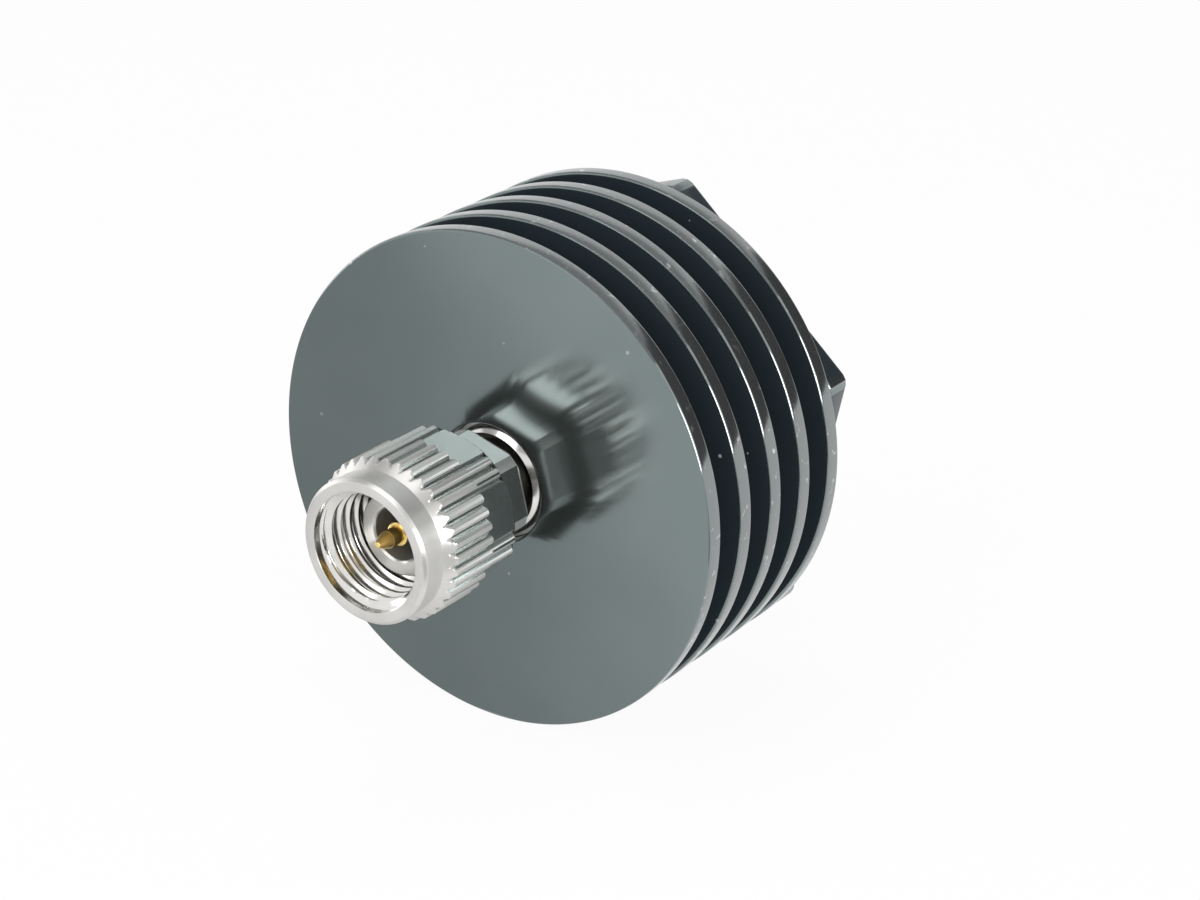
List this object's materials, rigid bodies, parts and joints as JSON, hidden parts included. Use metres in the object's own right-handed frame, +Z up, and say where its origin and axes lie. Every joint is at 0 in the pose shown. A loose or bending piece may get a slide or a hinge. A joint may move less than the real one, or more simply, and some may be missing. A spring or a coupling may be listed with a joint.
{
  "type": "coaxial attenuator",
  "caption": "Finned inline coaxial attenuator: a turned black heat sink between a male port with a turning knurled nut and a female threaded port.",
  "frame": {"origin": "on the axis of the line, at the mating plane of the male port, where the pin meets its shoulder", "axes": "+Y along the line from the male port to the female port, +Z up, +X to the right as seen from the male port"},
  "size_m": [0.0274, 0.0342, 0.0274],
  "materials": {
    "nut_steel": "turned stainless steel, bright",
    "spring_steel": "spring steel",
    "shell_steel": "turned stainless steel",
    "gold": "gold-plated beryllium copper",
    "bead_plastic": "machined engineering plastic",
    "black_aluminium": "black anodised, glossy",
    "tube_brass": "turned brass",
    "carrier_brass": "gold-plated copper",
    "chip_ceramic": "fired ceramic",
    "film": "thin resistive film"
  },
  "bodies": {
    "body": {"nut_snap_ring": "spring_steel", "male_shell": "shell_steel", "male_pin": "gold", "male_bead": "bead_plastic", "heat_sink": "black_aluminium", "cartridge_tube": "tube_brass", "carrier_base": "carrier_brass", "carrier_cap": "carrier_brass", "attenuator_chip": "chip_ceramic", "resistor_film": "film", "input_tab": "gold", "output_tab": "gold", "female_bead": "bead_plastic", "female_body": "shell_steel", "female_contact": "gold"},
    "nut": {"coupling_nut": "nut_steel"}
  },
  "joints": [
    {"name": "nut_turn", "type": "hinge", "parent": "body", "child": "nut", "pos_m": [0, 0.0039, 0], "axis": [0, 1, 0], "continuous": true}
  ]
}
